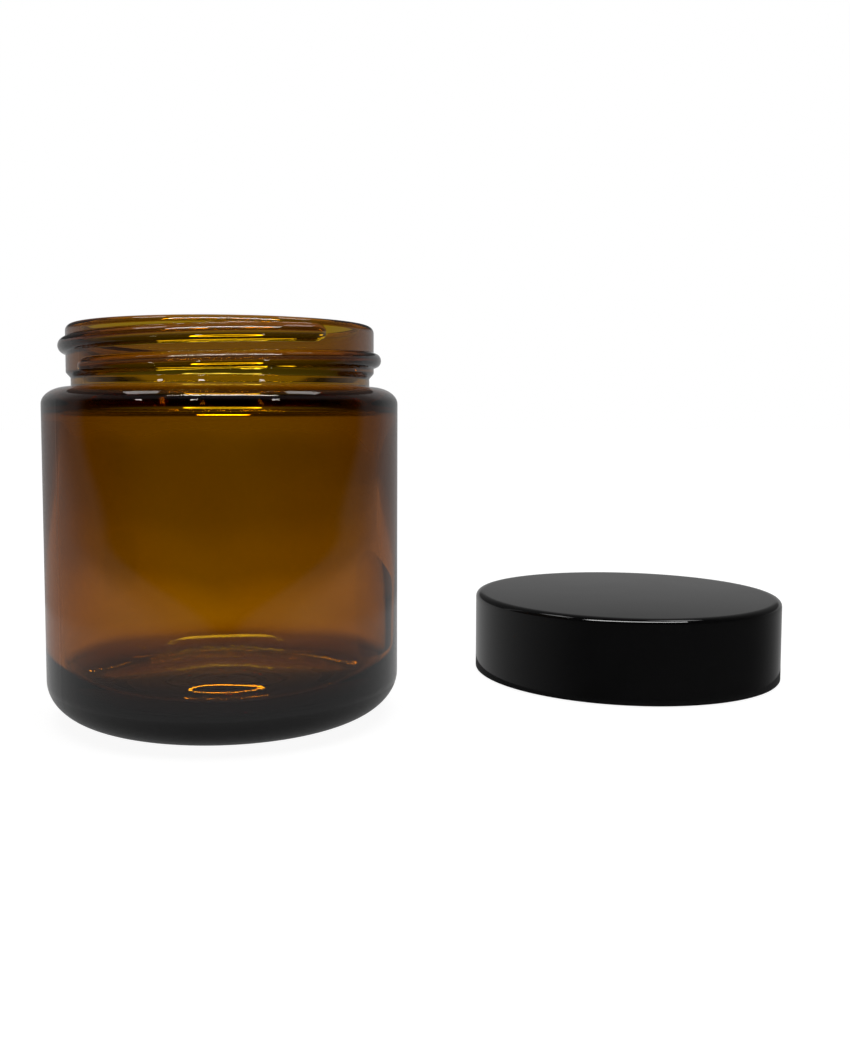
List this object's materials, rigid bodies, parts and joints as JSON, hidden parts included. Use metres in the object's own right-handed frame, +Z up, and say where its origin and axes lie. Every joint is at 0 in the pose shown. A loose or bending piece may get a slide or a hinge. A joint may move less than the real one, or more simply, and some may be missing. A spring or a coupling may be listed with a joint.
{
  "type": "screw-top cosmetic cream jar",
  "caption": "Straight-sided amber glass jar with a threaded neck, open beside its smooth black double-walled screw cap.",
  "frame": {"origin": "where the jar's axis meets the surface that it stands on", "axes": "+Z up along the jar's axis and out of its mouth, the front faces -Y, the cap stands towards +X and a little towards +Y"},
  "size_m": [0.1452, 0.0822, 0.0688],
  "materials": {
    "amber_glass": "clear amber, fire-polished",
    "black_gloss": "smooth high gloss",
    "black_satin": "moulded satin",
    "white_foam": "fine closed-cell foam",
    "white_film": "smooth film"
  },
  "bodies": {
    "jar": {"glass_jar": "amber_glass"},
    "liner": {"liner_foam": "white_foam", "liner_facing": "white_film"},
    "cap": {"cap_outer_shell": "black_gloss", "cap_inner_sleeve": "black_satin"}
  },
  "joints": [
    {"name": "cap_lift", "type": "slide", "parent": "jar", "child": "liner", "axis": [0, 0, 1], "range_m": [0, 0.08]},
    {"name": "cap_turn", "type": "hinge", "parent": "liner", "child": "cap", "pos_m": [0.083, 0.02, 0], "axis": [0, 0, 1], "continuous": true}
  ]
}
